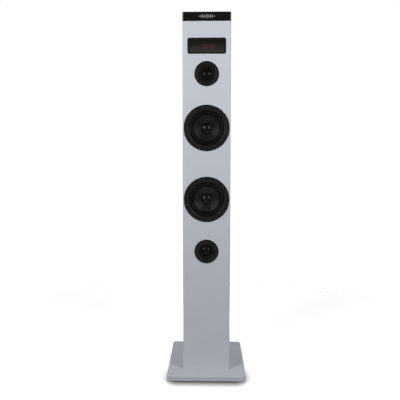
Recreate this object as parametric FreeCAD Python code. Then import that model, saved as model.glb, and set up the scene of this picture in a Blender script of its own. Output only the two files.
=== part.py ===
"""Floor-standing column speaker: a slim painted cabinet on a wide base plate.

Two woofers stand between two dome tweeters on the front, under a display window and a gloss cap
that carries five push buttons. The amplifier plate and the reflex port are on the back.
Millimetres, +Z up, front towards -Y, origin on the floor at the middle of the base plate.
Depths into the cabinet ("deep") are measured from the front face, and are negative in front of it.
"""
import FreeCAD, Part
import math
import os

Vector = FreeCAD.Vector

# ---- overall sizes -------------------------------------------------------------------------
total_height = 1000.0
column_width = 130.0
column_depth = 165.0
base_width = 218.0
base_depth = 240.0
base_thickness = 15.0
foot_height = 3.0
cap_height = 25.0

# ---- base plate ----------------------------------------------------------------------------
base_corner = 10.0
base_edge_round = 2.5
base_under_round = 1.0
foot_radius = 12.0
foot_inset = 22.0

# ---- cabinet panels ------------------------------------------------------------------------
baffle_thickness = 12.0
wall_thickness = 9.0
floor_thickness = 12.0
front_edge_round = 4.0
rear_edge_round = 2.0
joint_gap = 0.1          # between solids that pass through each other's holes
moving_gap = 0.3         # between solids of two bodies that move

# ---- front layout, measured down from the top of the column --------------------------------
window_drop = 89.0
window_to_tweeter = 73.0
tweeter_to_woofer = 144.0
woofer_pitch = 193.5
window_width = 103.0
window_height = 42.0
window_corner = 5.5

# ---- woofer --------------------------------------------------------------------------------
woofer_flange_radius = 57.0
woofer_flange_width = 7.5    # from the flange's rim in to the hole through the baffle
woofer_seat_deep = 4.5       # depth of the rebate that the flange sits in
woofer_trim_overhang = 5.0
woofer_trim_lip = 9.5
woofer_trim_height = 2.8
woofer_trim_under = 1.4      # room under the trim ring for the screw heads
woofer_roll_width = 8.0
woofer_cone_lip = 4.5
woofer_cone_depth = 14.0
woofer_excursion = 3.0
basket_sheet = 1.2
basket_depth = 31.0
surround_thickness = 0.8
cone_thickness = 0.8
dust_cap_radius = 14.5
dust_cap_rise = 6.8
coil_radius = 12.5
coil_wall = 0.4
winding_thickness = 0.4
coil_length = 22.0
winding_length = 9.0
spider_sheet = 0.5
spider_waves = 4
spider_wave_height = 1.3
magnet_radius = 35.0
magnet_thickness = 14.0
plate_radius = 30.0
plate_thickness = 4.0
magnetic_gap = 0.6
tag_thickness = 1.0
tag_half_width = 4.0

# ---- tweeter -------------------------------------------------------------------------------
tweeter_trim_radius = 33.0
tweeter_trim_width = 8.0
tweeter_trim_height = 2.4
tweeter_barrel_radius = 27.0
tweeter_throat_radius = 15.6
tweeter_throat_deep = 4.2    # where the horn meets the throat
tweeter_rim_deep = 7.6       # front of the tweeter's top plate
tweeter_clip = 1.5           # snap lugs behind the baffle
dome_radius = 12.5
dome_rise = 5.0
dome_excursion = 0.4
dome_sheet = 0.3
dome_former_wall = 0.25
dome_winding_thickness = 0.3
dome_coil_gap = 0.5
tweeter_magnet_thickness = 7.0
tweeter_plate_thickness = 3.0

# ---- display -------------------------------------------------------------------------------
bezel_width = 4.5
bezel_proud = 0.3
bezel_rim = 1.2              # flat rim before the sides slope in to the pane
pane_depth = 3.2
pane_thickness = 2.0
pane_lap = 1.5               # pane hidden behind the bezel on every side
digit_module_deep = 8.0
digit_module_width = 50.0
digit_module_height = 16.0
digit_height = 10.0
digit_width = 5.6
digit_space = 1.9
segment_width = 1.1
segment_gap = 0.2
segment_thickness = 0.3
digit_offset = 4.6       # the digits sit a little right of the middle

# ---- cap and buttons -----------------------------------------------------------------------
cap_wall = 2.5
cap_edge_round = 1.0
button_radius = 6.2
button_pitch = 22.0
button_travel = 0.5
button_proud = 0.6           # buttons above the cap's top face
button_row_setback = 24.0    # from the front face to the middle of the buttons
recess_depth = 1.2
recess_margin = 7.0          # recess beyond the buttons at each end
cap_deck = 2.5               # plate left under the recess
cap_post_radius = 4.0
button_flange_width = 1.6
button_flange = 1.0
button_top_round = 0.5
stem_radius = 2.0
switch_side = 6.0
switch_body_height = 2.8
switch_height = 3.6
control_board_drop = 8.6     # from the deck's underside to the board
control_board_length = 25.0
board_thickness = 1.6
emblem_bars = [3.0, 6.0, 9.5, 6.5, 11.5, 6.5, 9.5, 6.0, 3.0]
emblem_bar_width = 2.4
emblem_pitch = 5.2
emblem_thickness = 0.4

# ---- amplifier plate and port --------------------------------------------------------------
amp_plate_width = 100.0
amp_plate_height = 112.0
amp_plate_thickness = 2.0
amp_plate_raise = 42.0       # plate's lower edge above the column's foot
amp_plate_margin = 8.0
amp_board_rise = 14.0        # board above the plate's middle
sockets_drop = 34.0          # switch and mains inlet below the plate's middle
port_radius = 20.0
port_wall = 2.0
port_flange_width = 7.0
port_flange_proud = 2.5
port_flare = 4.0
port_length = 70.0
port_rise = 150.0            # from the plate's upper edge to the port's middle

# ---- switch and sockets --------------------------------------------------------------------
inlet_x, rocker_x, usb_x, aux_x = 24.0, -24.0, 22.0, -20.0
inlet_width, inlet_height, inlet_depth = 20.0, 13.0, 17.0
inlet_slot_width, inlet_slot_height, inlet_slot_depth = 15.8, 8.8, 12.0
inlet_flange, inlet_flange_proud = 3.0, 2.0
pin_radius, pin_half_pitch, pin_length = 1.2, 4.3, 9.0
blade_width, blade_thickness, blade_length = 4.8, 0.8, 7.0
rocker_radius, rocker_width, rocker_pin_radius = 9.2, 11.4, 1.3
rocker_below = 3.0           # rocker's flat underside below its pivot
rocker_swing = 20.0          # degrees between off and on
rocker_axis_sunk = 1.2       # pivot below the plate's outer face
housing_wall, housing_depth, housing_proud, housing_lip = 1.2, 16.0, 1.8, 2.0
usb_width, usb_height, usb_length, usb_wall = 14.4, 7.0, 16.0, 0.5
aux_side, aux_length, aux_nose_radius, aux_bore_radius = 11.0, 13.0, 4.2, 1.8

# ---- amplifier board, transformer and leads ------------------------------------------------
sink_half_width, sink_foot, sink_height, sink_fins = 14.0, 3.0, 20.0, 7
capacitor_radius, capacitor_height = 6.0, 22.0
terminal_half, terminal_height = 4.0, 9.0
core_half_width, core_half_depth, core_height = 24.0, 10.0, 40.0
bobbin_half_width, bobbin_half_depth, bobbin_height = 14.0, 19.0, 24.0
wire_radius = 1.3
lead_bend = 25.0             # largest bend radius of a lead
lead_setback = 53.0          # leads' upright runs, from the rear panel's inner face
lead_x = {"upper_woofer": 39.0, "lower_woofer": -39.0, "upper_tweeter": 33.0, "lower_tweeter": 28.0}
signal_lead_x = -32.0
cable_hole_radius = 7.0

# ---- fasteners -----------------------------------------------------------------------------
screw_radius = 1.5
screw_length = 12.0
screw_head_radius = 2.1
screw_head_height = 1.6
bolt_radius = 3.0
bolt_head_radius = 5.5
bolt_head_height = 3.5
bolt_counterbore = 5.0
bolt_bite = 3.0              # how far the bolts stand above the bottom board
bolt_inset = 16.0            # from the cabinet's inner walls

# ---- places worked out from the sizes ------------------------------------------------------
front = -column_depth / 2
rear = column_depth / 2
half_width = column_width / 2
column_foot = foot_height + base_thickness
cap_top = total_height - button_proud
cabinet_top = total_height - cap_height
inner_half = half_width - wall_thickness
inner_front = front + baffle_thickness
inner_rear = rear - wall_thickness
window_z = total_height - window_drop
upper_tweeter_z = window_z - window_to_tweeter
upper_woofer_z = upper_tweeter_z - tweeter_to_woofer
lower_woofer_z = upper_woofer_z - woofer_pitch
lower_tweeter_z = lower_woofer_z - tweeter_to_woofer
woofers = {"upper_woofer": upper_woofer_z, "lower_woofer": lower_woofer_z}
tweeters = {"upper_tweeter": upper_tweeter_z, "lower_tweeter": lower_tweeter_z}

parts = {}


# ---- shape helpers -------------------------------------------------------------------------
def block(x0, x1, y0, y1, z0, z1):
    return Part.makeBox(x1 - x0, y1 - y0, z1 - z0, Vector(x0, y0, z0))


def centred(x, z, width, height, y0, y1):
    """A block centred on x and z."""
    return block(x - width / 2, x + width / 2, y0, y1, z - height / 2, z + height / 2)


def rod(radius, start, end):
    start, end = Vector(*start), Vector(*end)
    return Part.makeCylinder(radius, (end - start).Length, start, end - start)


def outline(points, place):
    """A closed wire. (a, b) ends a straight edge, and (ma, mb, a, b) ends an arc through (ma, mb)."""
    edges = []
    last = points[0][-2:]
    for point in points[1:] + [points[0][-2:]]:
        end = point[-2:]
        if end == last:
            continue
        if len(point) == 4:
            edges.append(Part.Arc(place(*last), place(*point[:2]), place(*end)).toShape())
        else:
            edges.append(Part.LineSegment(place(*last), place(*end)).toShape())
        last = end
    return Part.Wire(edges)


def lathe(points, z):
    """Turns an outline of (radius, deep) points about the front-to-back axis at height z."""
    wire = outline(points, lambda radius, deep: Vector(radius, front + deep, z))
    return Part.Face(wire).revolve(Vector(0, front, z), Vector(0, 1, 0), 360)


def bowl(radius, rise, apex):
    """Half way and end of a ball's outline, from its (0, apex) on the axis out to its rim."""
    ball_radius = (radius ** 2 + rise ** 2) / (2 * rise)
    half_turn = math.asin(radius / ball_radius) / 2
    sag = ball_radius * (1 - math.cos(half_turn))
    return ball_radius * math.sin(half_turn), apex + sag, radius, apex + rise


def disc(outer, inner, deep, thickness, z):
    return lathe([(outer, deep), (outer, deep + thickness), (inner, deep + thickness), (inner, deep)], z)


def rounded(width, height, radius):
    """Points of a rounded rectangle about the origin, for outline()."""
    w, h = width / 2, height / 2
    k = radius * (1 - math.sqrt(0.5))
    return [
        (w - radius, -h),
        (w - k, -h + k, w, -h + radius),
        (w, h - radius),
        (w - k, h - k, w - radius, h),
        (-w + radius, h),
        (-w + k, h - k, -w, h - radius),
        (-w, -h + radius),
        (-w + k, -h + k, -w + radius, -h),
    ]


def upright_plate(width, height, radius, deep, thickness, z, x=0.0):
    """A rounded plate that faces front, from deep to deep + thickness."""
    wire = outline(rounded(width, height, radius), lambda a, b: Vector(x + a, front + deep, z + b))
    return Part.Face(wire).extrude(Vector(0, thickness, 0))


def column_plan(z0, z1):
    """The column's outside from z0 to z1, with its upright edges rounded."""
    kf = front_edge_round * (1 - math.sqrt(0.5))
    kr = rear_edge_round * (1 - math.sqrt(0.5))
    points = [
        (half_width - front_edge_round, front),
        (half_width - kf, front + kf, half_width, front + front_edge_round),
        (half_width, rear - rear_edge_round),
        (half_width - kr, rear - kr, half_width - rear_edge_round, rear),
        (-half_width + rear_edge_round, rear),
        (-half_width + kr, rear - kr, -half_width, rear - rear_edge_round),
        (-half_width, front + front_edge_round),
        (-half_width + kf, front + kf, -half_width + front_edge_round, front),
    ]
    wire = outline(points, lambda a, b: Vector(a, b, z0))
    return Part.Face(wire).extrude(Vector(0, 0, z1 - z0))


def around(count, radius, start_deg, z):
    """(x, z) places on a circle in the front's plane."""
    turns = [math.radians(start_deg + 360.0 * i / count) for i in range(count)]
    return [(radius * math.cos(t), z + radius * math.sin(t)) for t in turns]


def fuse(first, *others):
    return first.fuse(list(others)).removeSplitter()


def group(solids):
    return Part.makeCompound(solids)


def screw(x, y, z, direction):
    """A pan-head screw: x, y, z is where the head's underside sits, direction is where the shank goes."""
    shank = Part.makeCylinder(screw_radius, screw_length)
    head = Part.makeCylinder(screw_head_radius, screw_head_height, Vector(0, 0, -screw_head_height))
    reach, half_slot, depth = screw_head_radius * 0.65, 0.25, 0.7
    top = -screw_head_height
    cross = [block(-reach, reach, -half_slot, half_slot, top, top + depth),
             block(-half_slot, half_slot, -reach, reach, top, top + depth)]
    body = fuse(shank, head).cut(cross)
    body.Placement = FreeCAD.Placement(Vector(x, y, z), FreeCAD.Rotation(Vector(0, 0, 1), Vector(*direction)))
    return body


def wire_path(points, radius_share=0.45):
    """Straight runs joined by tangent arcs, each as large as its shorter run and lead_bend allow."""
    points = [Vector(*p) for p in points]
    edges, start = [], points[0]
    for before, corner, after in zip(points, points[1:], points[2:]):
        way_in, way_out = corner - before, after - corner
        turn = way_in.getAngle(way_out)
        slope = math.tan(turn / 2)
        trim = min(radius_share * min(way_in.Length, way_out.Length), lead_bend * slope)
        way_in.normalize()
        way_out.normalize()
        radius = trim / slope
        arc_start, arc_end = corner - way_in * trim, corner + way_out * trim
        to_centre = (way_out - way_in).normalize()
        middle = corner + to_centre * (radius / math.cos(turn / 2) - radius)
        edges.append(Part.LineSegment(start, arc_start).toShape())
        edges.append(Part.Arc(arc_start, middle, arc_end).toShape())
        start = arc_end
    edges.append(Part.LineSegment(start, points[-1]).toShape())
    return Part.Wire(edges)


def tube(points, radius):
    path = wire_path(points)
    way = Vector(*points[1]) - Vector(*points[0])
    section = Part.Wire(Part.makeCircle(radius, Vector(*points[0]), way))
    return path.makePipeShell([section], True, True)


# ---- fastener places that several pieces share ---------------------------------------------
woofer_screw_circle = woofer_flange_radius - screw_head_radius
bolt_places = [
    (x, y)
    for x in (-inner_half + bolt_inset, inner_half - bolt_inset)
    for y in (inner_front + bolt_inset, inner_rear - bolt_inset)
]
cap_post_x = inner_half - cap_post_radius - 2.0
button_y = front + button_row_setback
front_post_y = button_y + control_board_length / 2 + cap_post_radius + 2.0
cap_posts = [(sx * cap_post_x, y) for sx in (-1, 1) for y in (front_post_y, inner_rear - 9.0)]
amp_plate_z = column_foot + amp_plate_raise + amp_plate_height / 2
amp_screw_inset = amp_plate_margin / 2
pilot_radius = screw_radius + joint_gap
lead_y = inner_rear - lead_setback
amp_screw_x = amp_plate_width / 2 - amp_screw_inset
amp_screw_rise = amp_plate_height / 2 - amp_screw_inset
amp_screws = [(sx * amp_screw_x, amp_plate_z + sz * amp_screw_rise) for sx in (-1, 1) for sz in (-1, 0, 1)]


# ---- cabinet -------------------------------------------------------------------------------
woofer_rebate_radius = woofer_flange_radius + moving_gap
woofer_hole_radius = woofer_flange_radius - woofer_flange_width
tweeter_hole_radius = tweeter_barrel_radius + moving_gap


def make_front_baffle():
    slab = block(-half_width, half_width, front, inner_front, column_foot, cabinet_top)
    baffle = column_plan(column_foot, cabinet_top).common(slab)
    cuts = []
    for z in woofers.values():
        cuts.append(disc(woofer_rebate_radius, 0.0, -1.0, woofer_seat_deep + 1.0, z))
        cuts.append(rod(woofer_hole_radius, (0, front, z), (0, inner_front + 1, z)))
        for x, screw_z in around(4, woofer_screw_circle, 45, z):
            cuts.append(rod(pilot_radius, (x, front, screw_z), (x, inner_front + 1, screw_z)))
    for z in tweeters.values():
        cuts.append(rod(tweeter_hole_radius, (0, front - 1, z), (0, inner_front + 1, z)))
    cuts.append(
        upright_plate(window_width + 2 * joint_gap, window_height + 2 * joint_gap, window_corner,
                      -1.0, baffle_thickness + 2.0, window_z)
    )
    return baffle.cut(cuts)


def make_side_panel(side):
    inner, outer = side * inner_half, side * half_width
    slab = block(min(inner, outer), max(inner, outer), inner_front, rear, column_foot, cabinet_top)
    return column_plan(column_foot, cabinet_top).common(slab)


amp_opening_width = amp_plate_width - 2 * amp_plate_margin
amp_opening_height = amp_plate_height - 2 * amp_plate_margin
port_z = amp_plate_z + amp_plate_height / 2 + port_rise


def make_rear_panel():
    panel = block(-inner_half, inner_half, inner_rear, rear, column_foot, cabinet_top)
    cuts = [
        block(-amp_opening_width / 2, amp_opening_width / 2, inner_rear - 1, rear + 1,
              amp_plate_z - amp_opening_height / 2, amp_plate_z + amp_opening_height / 2),
        rod(port_radius + port_wall + joint_gap, (0, inner_rear - 1, port_z), (0, rear + 1, port_z)),
    ]
    for x, z in amp_screws:
        cuts.append(rod(pilot_radius, (x, inner_rear - 1, z), (x, rear + 1, z)))
    return panel.cut(cuts)


control_lead_y = button_y + 5.0
top_board_counterbore = 3.0


def make_top_board():
    z0 = cabinet_top - wall_thickness
    board = block(-inner_half, inner_half, inner_front, inner_rear, z0, cabinet_top)
    cuts = [rod(cable_hole_radius, (0, control_lead_y, z0 - 1), (0, control_lead_y, cabinet_top + 1))]
    for x, y in cap_posts:
        cuts.append(rod(pilot_radius, (x, y, z0 - 1), (x, y, cabinet_top + 1)))
        cuts.append(rod(screw_head_radius + joint_gap, (x, y, z0 - 1), (x, y, z0 + top_board_counterbore)))
    return board.cut(cuts)


def make_bottom_board():
    z1 = column_foot + floor_thickness
    board = block(-inner_half, inner_half, inner_front, inner_rear, column_foot, z1)
    holes = [rod(bolt_radius + joint_gap, (x, y, column_foot - 1), (x, y, z1 + 1)) for x, y in bolt_places]
    return board.cut(holes)


divider_z = upper_tweeter_z + tweeter_trim_radius + 5.0


def make_upper_divider():
    z1 = divider_z + wall_thickness
    board = block(-inner_half, inner_half, inner_front, inner_rear, divider_z, z1)
    hole = rod(cable_hole_radius, (signal_lead_x, lead_y, divider_z - 1), (signal_lead_x, lead_y, z1 + 1))
    return board.cut(hole)


parts["front_baffle"] = make_front_baffle()
parts["left_side_panel"] = make_side_panel(-1)
parts["right_side_panel"] = make_side_panel(1)
parts["rear_panel"] = make_rear_panel()
parts["top_board"] = make_top_board()
parts["bottom_board"] = make_bottom_board()
parts["upper_divider"] = make_upper_divider()


# ---- base plate, its bolts and feet --------------------------------------------------------
def make_base_plate():
    wire = outline(rounded(base_width, base_depth, base_corner), lambda a, b: Vector(a, b, foot_height))
    plate = Part.Face(wire).extrude(Vector(0, 0, base_thickness))
    top_edges = [e for e in plate.Edges if e.BoundBox.ZMin > column_foot - 0.01]
    plate = plate.makeFillet(base_edge_round, top_edges)
    low_edges = [e for e in plate.Edges if e.BoundBox.ZMax < foot_height + 0.01]
    plate = plate.makeFillet(base_under_round, low_edges)
    cuts = []
    for x, y in bolt_places:
        cuts.append(rod(bolt_radius + joint_gap, (x, y, 0), (x, y, column_foot + 1)))
        cuts.append(rod(bolt_head_radius + 1.0, (x, y, 0), (x, y, foot_height + bolt_counterbore)))
    return plate.cut(cuts)


def make_base_bolts():
    bolts = []
    seat = foot_height + bolt_counterbore
    tip = column_foot + floor_thickness + bolt_bite
    hex_key_radius, hex_key_depth = 2.2, 2.0
    for x, y in bolt_places:
        shank = rod(bolt_radius, (x, y, seat), (x, y, tip))
        head = rod(bolt_head_radius, (x, y, seat - bolt_head_height), (x, y, seat))
        corners = around(6, hex_key_radius, 0, 0.0)
        bottom = seat - bolt_head_height
        wire = Part.makePolygon([Vector(x + a, y + b, bottom) for a, b in corners + corners[:1]])
        key = Part.Face(wire).extrude(Vector(0, 0, hex_key_depth))
        bolts.append(fuse(shank, head).cut(key))
    return group(bolts)


def make_feet():
    feet = []
    for sx in (-1, 1):
        for sy in (-1, 1):
            x, y = sx * (base_width / 2 - foot_inset), sy * (base_depth / 2 - foot_inset)
            feet.append(Part.makeCone(foot_radius - 1.5, foot_radius, foot_height, Vector(x, y, 0)))
    return group(feet)


parts["base_plate"] = make_base_plate()
parts["base_bolts"] = make_base_bolts()
parts["rubber_feet"] = make_feet()

# ---- cap, its buttons, control board and emblem --------------------------------------------
button_names = ["power_button", "source_button", "previous_button", "play_button", "next_button"]
button_places = {name: (i - 2) * button_pitch for i, name in enumerate(button_names)}
recess_width = 4 * button_pitch + 2 * (button_radius + recess_margin)
recess_length = 2 * (button_radius + recess_margin) - 2.0
recess_floor = cap_top - recess_depth
button_hole_radius = button_radius + moving_gap
deck_under = recess_floor - cap_deck
button_top = total_height
control_board_top = deck_under - control_board_drop
switch_top = control_board_top + switch_height
stem_end = switch_top + moving_gap + button_travel
control_post_radius = 3.0
control_post_x = 2.5 * button_pitch - 1.0
control_post_rise = control_board_length / 2 - control_post_radius - 0.5
control_posts = [(sx * control_post_x, button_y + sy * control_post_rise) for sx in (-1, 1) for sy in (-1, 1)]
control_board_width = 2 * (control_post_x + control_post_radius + 0.5)


def make_top_cap():
    outside = column_plan(cabinet_top, cap_top)
    top_edges = [e for e in outside.Edges if e.BoundBox.ZMin > cap_top - 0.01]
    outside = outside.makeFillet(cap_edge_round, top_edges)
    hollow = block(-half_width + cap_wall, half_width - cap_wall, front + cap_wall, rear - cap_wall,
                   cabinet_top - 1, deck_under)
    cap = outside.cut(hollow)
    wire = outline(rounded(recess_width, recess_length, recess_length / 2 - 2.0),
                   lambda a, b: Vector(a, button_y + b, recess_floor))
    cap = cap.cut(Part.Face(wire).extrude(Vector(0, 0, recess_depth + 1)))
    posts = [rod(cap_post_radius, (x, y, cabinet_top), (x, y, deck_under)) for x, y in cap_posts]
    posts += [rod(control_post_radius, (x, y, control_board_top), (x, y, deck_under))
              for x, y in control_posts]
    cap = fuse(cap, *posts)
    cuts = [rod(button_hole_radius, (x, button_y, deck_under - 1), (x, button_y, total_height + 1))
            for x in button_places.values()]
    cuts += [rod(pilot_radius, (x, y, cabinet_top - 1), (x, y, cabinet_top + screw_length))
             for x, y in cap_posts]
    cuts += [rod(1.0, (x, y, control_board_top - 1), (x, y, control_board_top + 6)) for x, y in control_posts]
    return cap.cut(cuts)


def make_button(x):
    head = rod(button_radius, (x, button_y, deck_under - moving_gap), (x, button_y, button_top))
    head = head.makeFillet(button_top_round, [e for e in head.Edges if e.BoundBox.ZMin > button_top - 0.01])
    flange_top = deck_under - moving_gap
    flange = rod(button_radius + button_flange_width, (x, button_y, flange_top - button_flange),
                 (x, button_y, flange_top))
    stem = rod(stem_radius, (x, button_y, stem_end), (x, button_y, flange_top))
    return fuse(head, flange, stem)


def make_control_board():
    board = block(-control_board_width / 2, control_board_width / 2, button_y - control_board_length / 2,
                  button_y + control_board_length / 2, control_board_top - board_thickness, control_board_top)
    board = board.cut([rod(1.2, (x, y, 0), (x, y, total_height)) for x, y in control_posts])
    solids = [board]
    half = switch_side / 2
    y0, y1 = button_y - half, button_y + half
    for x in button_places.values():
        body = block(x - half, x + half, y0, y1, control_board_top, control_board_top + switch_body_height)
        plunger = rod(1.7, (x, button_y, control_board_top), (x, button_y, switch_top))
        solids.append(fuse(body, plunger))
    return group(solids)


def make_emblem():
    z = cabinet_top + cap_height / 2
    middle = (len(emblem_bars) - 1) / 2
    return group([
        upright_plate(emblem_bar_width, bar, emblem_bar_width * 0.45, -emblem_thickness, emblem_thickness, z,
                      (i - middle) * emblem_pitch)
        for i, bar in enumerate(emblem_bars)
    ])


parts["top_cap"] = make_top_cap()
parts["control_board"] = make_control_board()
parts["front_emblem"] = make_emblem()
for name, x in button_places.items():
    parts[name] = make_button(x)

# ---- display -------------------------------------------------------------------------------
display_board_deep = baffle_thickness + 2.0
window_clear_width = window_width - 2 * bezel_width
window_clear_height = window_height - 2 * bezel_width
pane_width = window_clear_width + 2 * pane_lap
pane_height = window_clear_height + 2 * pane_lap
pane_corner = 2.0


def make_display_bezel():
    depth = bezel_proud + display_board_deep
    outer = upright_plate(window_width, window_height, window_corner, -bezel_proud, depth, window_z)
    rim_width, rim_height = window_width - 2 * bezel_rim, window_height - 2 * bezel_rim
    wide = outline(rounded(rim_width, rim_height, window_corner - bezel_rim),
                   lambda a, b: Vector(a, front - bezel_proud, window_z + b))
    narrow = outline(rounded(window_clear_width, window_clear_height, pane_corner),
                     lambda a, b: Vector(a, front + pane_depth, window_z + b))
    funnel = Part.makeLoft([wide, narrow], True, True)
    seat = upright_plate(pane_width, pane_height, pane_corner, pane_depth, display_board_deep, window_z)
    return outer.cut([funnel, seat])


def make_display_window():
    return upright_plate(pane_width - 2 * joint_gap, pane_height - 2 * joint_gap, pane_corner - joint_gap,
                         pane_depth, pane_thickness, window_z)


def make_display_board():
    width, height = window_width - 2.0, window_height - 2.0
    board_y = front + display_board_deep
    module_y = front + digit_module_deep
    eye_x, eye_radius = -width / 2 + bezel_width + 8.0, 2.5
    board = centred(0, window_z, width, height, board_y, board_y + board_thickness)
    module = centred(digit_offset, window_z, digit_module_width, digit_module_height, module_y, board_y)
    infrared_eye = rod(eye_radius, (eye_x, module_y, window_z), (eye_x, board_y, window_z))
    return group([board, module, infrared_eye])


# Lit segments of each digit, in the usual a to g lettering.
segments_of = {"0": "abcdef", "1": "bc", "7": "abc", "-": "g"}
shown_digits = "-0710-"


def make_lit_segments():
    half_w, half_h = digit_width / 2 - segment_width / 2, digit_height / 2
    across, up = 2 * (half_w - segment_gap) - segment_width, half_h - 2 * segment_gap
    level = half_h - segment_width / 2
    places = {
        "a": (0, level, across, segment_width),
        "g": (0, 0, across, segment_width),
        "d": (0, -level, across, segment_width),
        "f": (-half_w, half_h / 2, segment_width, up),
        "b": (half_w, half_h / 2, segment_width, up),
        "e": (-half_w, -half_h / 2, segment_width, up),
        "c": (half_w, -half_h / 2, segment_width, up),
    }
    digit_pitch = digit_width + digit_space
    middle = (len(shown_digits) - 1) / 2
    solids = []
    for i, digit in enumerate(shown_digits):
        x0 = digit_offset + (i - middle) * digit_pitch
        for letter in segments_of[digit]:
            x, z, width, height = places[letter]
            solids.append(upright_plate(width, height, min(width, height) * 0.3,
                                        digit_module_deep - segment_thickness, segment_thickness,
                                        window_z + z, x0 + x))
    return group(solids)


parts["display_bezel"] = make_display_bezel()
parts["display_window"] = make_display_window()
parts["display_board"] = make_display_board()
parts["lit_segments"] = make_lit_segments()

# ---- woofers -------------------------------------------------------------------------------
woofer_trim_outer = woofer_flange_radius + woofer_trim_overhang
woofer_trim_inner = woofer_flange_radius - woofer_trim_lip
roll_outer = woofer_trim_inner - 1.0
roll_inner = roll_outer - woofer_roll_width
lip_inner = roll_inner - woofer_cone_lip
surround_rim = woofer_screw_circle - screw_head_radius - moving_gap
flange_front = woofer_seat_deep - basket_sheet
surround_front = flange_front - surround_thickness
cone_lip_front = flange_front + 0.2
former_outer = coil_radius + coil_wall
winding_outer = former_outer + winding_thickness
cone_neck_deep = cone_lip_front + woofer_cone_depth
spider_deep = cone_neck_deep + 1.5 * cone_thickness + woofer_excursion + 0.7
shelf_front = spider_deep + spider_sheet + joint_gap
shelf_rear = shelf_front + basket_sheet
spider_outer = magnet_radius + 1.0
spider_shelf_inner = spider_outer - 5.0
coil_front = cone_neck_deep - 0.5
top_plate_front = basket_depth
winding_front = top_plate_front + plate_thickness / 2 - winding_length / 2
magnet_front = top_plate_front + plate_thickness
magnet_rear = magnet_front + magnet_thickness


def make_woofer_trim(z):
    """A domed ring with a skirt that presses the surround's rim onto the basket."""
    outer, inner, skirt_wall = woofer_trim_outer, woofer_trim_inner, 1.4
    crest = -woofer_trim_height
    under = -woofer_trim_under
    return lathe([
        (outer, 0.0),
        (outer, crest + 1.6),
        (outer - 0.6, crest + 0.6, outer - 2.2, crest),
        (outer - 5.0, crest - 0.15, outer - 8.0, crest + 0.5),
        (inner + 0.7, crest + 1.6, inner, -0.6),
        (inner, surround_front),
        (inner + skirt_wall, surround_front),
        (inner + skirt_wall, under),
        (woofer_rebate_radius, under),
        (woofer_rebate_radius, 0.0),
    ], z)


def lead_tag(name, inner_end, y, z):
    """A soldering tag behind a driver, from inner_end out to just past its lead."""
    side = math.copysign(1, lead_x[name])
    x0, x1 = sorted([side * inner_end, lead_x[name] + side * 2 * wire_radius])
    return block(x0, x1, y, y + tag_thickness, z - tag_half_width, z + tag_half_width)


def make_woofer_basket(name, z):
    """A pressed frame: flange, sloping wall with four openings, spider shelf and a floor on the top plate."""
    t = basket_sheet
    wall_outer = woofer_hole_radius - moving_gap
    sheet = lathe([
        (woofer_flange_radius, flange_front),
        (wall_outer - t, flange_front),
        (wall_outer - t - 0.6, baffle_thickness),
        (spider_outer + 0.6, shelf_front),
        (spider_shelf_inner, shelf_front),
        (spider_shelf_inner - 1.6, basket_depth - t),
        (winding_outer + magnetic_gap, basket_depth - t),
        (winding_outer + magnetic_gap, basket_depth),
        (spider_shelf_inner - 0.6, basket_depth),
        (spider_shelf_inner + 1.0, shelf_rear),
        (spider_outer + 1.2, shelf_rear),
        (wall_outer - 0.6, baffle_thickness + 0.4),
        (wall_outer, woofer_seat_deep),
        (woofer_flange_radius, woofer_seat_deep),
    ], z)
    cuts = []
    for x, screw_z in around(4, woofer_screw_circle, 45, z):
        cuts.append(rod(pilot_radius, (x, front, screw_z), (x, front + shelf_front, screw_z)))
    half_span = spider_outer * 0.55
    window = block(spider_outer, woofer_flange_radius, front + baffle_thickness + 1.5,
                   front + shelf_front - 1.0, -half_span, half_span)
    for i in range(4):
        turned = window.copy()
        turned.rotate(Vector(0, 0, 0), Vector(0, 1, 0), 45 + 90 * i)
        turned.translate(Vector(0, 0, z))
        cuts.append(turned)
    return fuse(sheet.cut(cuts), lead_tag(name, spider_outer - 2.0, front + shelf_rear, z))


def make_surround(z):
    t, middle = surround_thickness, (roll_outer + roll_inner) / 2
    reach = woofer_roll_width / 2
    return lathe([
        (surround_rim, surround_front),
        (roll_outer, surround_front),
        (middle, surround_front - reach, roll_inner, surround_front),
        (lip_inner, surround_front),
        (lip_inner, surround_front + t),
        (roll_inner + t, surround_front + t),
        (middle, surround_front - reach + t, roll_outer - t, surround_front + t),
        (surround_rim, surround_front + t),
    ], z)


# The cone's front face is an arc that bows forward between its lip and its neck.
cone_mid_radius = (lip_inner + former_outer) / 2
cone_mid_deep = cone_lip_front + woofer_cone_depth * 0.44
cone_arc = Part.Arc(Vector(lip_inner, cone_lip_front), Vector(cone_mid_radius, cone_mid_deep),
                    Vector(former_outer, cone_neck_deep)).toShape().Curve


def cone_deep(radius):
    return cone_arc.Center.y - math.sqrt(cone_arc.Radius ** 2 - (radius - cone_arc.Center.x) ** 2)


def make_cone(z):
    t = cone_thickness
    return lathe([
        (roll_inner - 0.2, cone_lip_front),
        (lip_inner, cone_lip_front),
        (cone_mid_radius, cone_mid_deep, former_outer, cone_neck_deep),
        (former_outer, cone_neck_deep + t * 1.4),
        (cone_mid_radius - 0.3, cone_mid_deep + t * 1.2, lip_inner - 0.4, cone_lip_front + t),
        (roll_inner - 0.2, cone_lip_front + t),
    ], z)


glue_gap = 0.15
dust_cap_rim = cone_deep(dust_cap_radius) - glue_gap


def make_dust_cap(z):
    t, rim = cone_thickness, dust_cap_rim
    apex = rim - dust_cap_rise
    inner = bowl(dust_cap_radius - t, dust_cap_rise - t, apex + t)
    return lathe([
        (0.0, apex),
        bowl(dust_cap_radius, dust_cap_rise, apex),
        (dust_cap_radius - t, rim),
        (*inner[:2], 0.0, apex + t),
    ], z)


def make_voice_coil(z):
    former = disc(former_outer, coil_radius, coil_front, coil_length, z)
    winding = disc(winding_outer, former_outer, winding_front, winding_length, z)
    return group([former, winding])


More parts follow.
